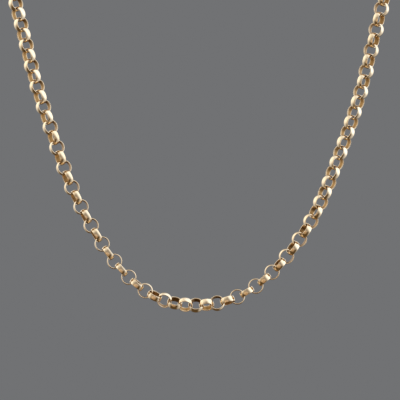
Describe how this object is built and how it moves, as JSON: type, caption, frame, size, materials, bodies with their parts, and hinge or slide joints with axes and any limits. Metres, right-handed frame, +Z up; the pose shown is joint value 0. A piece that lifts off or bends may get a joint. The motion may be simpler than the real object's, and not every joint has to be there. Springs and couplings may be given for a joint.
{
  "type": "rolo chain necklace",
  "caption": "Rolo chain necklace of round D-section links, each turned a quarter against the next, hanging as a closed loop with a plain clasp at the nape.",
  "frame": {"origin": "on the chain's centre line at the nape, where the back of the neck carries the loop", "axes": "+Z up, the front of the necklace faces -Y, +X to the right as seen from the front"},
  "size_m": [0.1064, 0.0788, 0.1423],
  "materials": {
    "gold": null
  },
  "bodies": {
    "root": {"chain_left": "gold", "chain_right": "gold", "clasp": "gold"}
  },
  "joints": []
}
